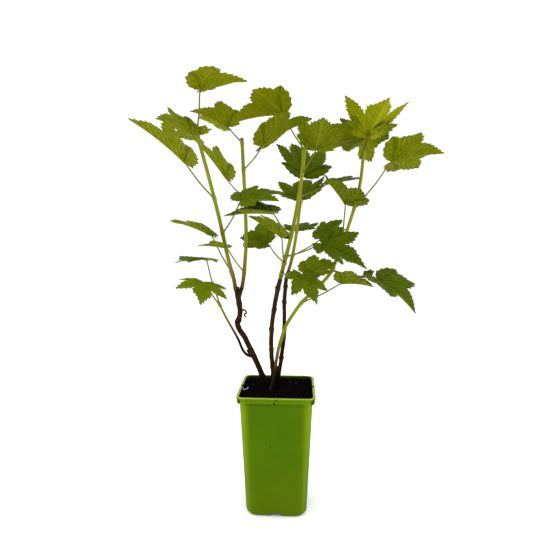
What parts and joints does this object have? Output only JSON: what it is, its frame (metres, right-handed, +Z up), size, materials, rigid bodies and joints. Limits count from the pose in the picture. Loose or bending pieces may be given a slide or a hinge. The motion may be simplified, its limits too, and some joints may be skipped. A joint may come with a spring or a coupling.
{
  "type": "potted blackcurrant bush",
  "caption": "Young fruiting shrub in a tapering square nursery pot: bare brown canes carry green shoots with lobed, toothed leaves on long stalks.",
  "frame": {"origin": "middle of the pot's flat underside, where it stands", "axes": "+Z up along the plant, +X to the right and +Y away from the viewer in the picture, square with the pot's sides"},
  "size_m": [0.4392, 0.3474, 0.673],
  "materials": {
    "pot_plastic": "satin moulded green polypropylene",
    "potting_soil": "moist dark peat with crumbs and fibres",
    "cane_bark": "thin brown bark with buds and scars",
    "green_shoot": "smooth yellow-green young stem",
    "leaf": "soft satin leaf, dark above and yellow-green below"
  },
  "bodies": {
    "root": {"pot": "pot_plastic", "potting_soil": "potting_soil", "cane_left": "cane_bark", "cane_centre": "cane_bark", "cane_right": "cane_bark", "cane_low": "green_shoot", "foliage_left": "leaf", "foliage_inner_left": "leaf", "foliage_spur": "leaf", "foliage_centre": "leaf", "foliage_back": "leaf", "foliage_right": "leaf"}
  },
  "joints": []
}
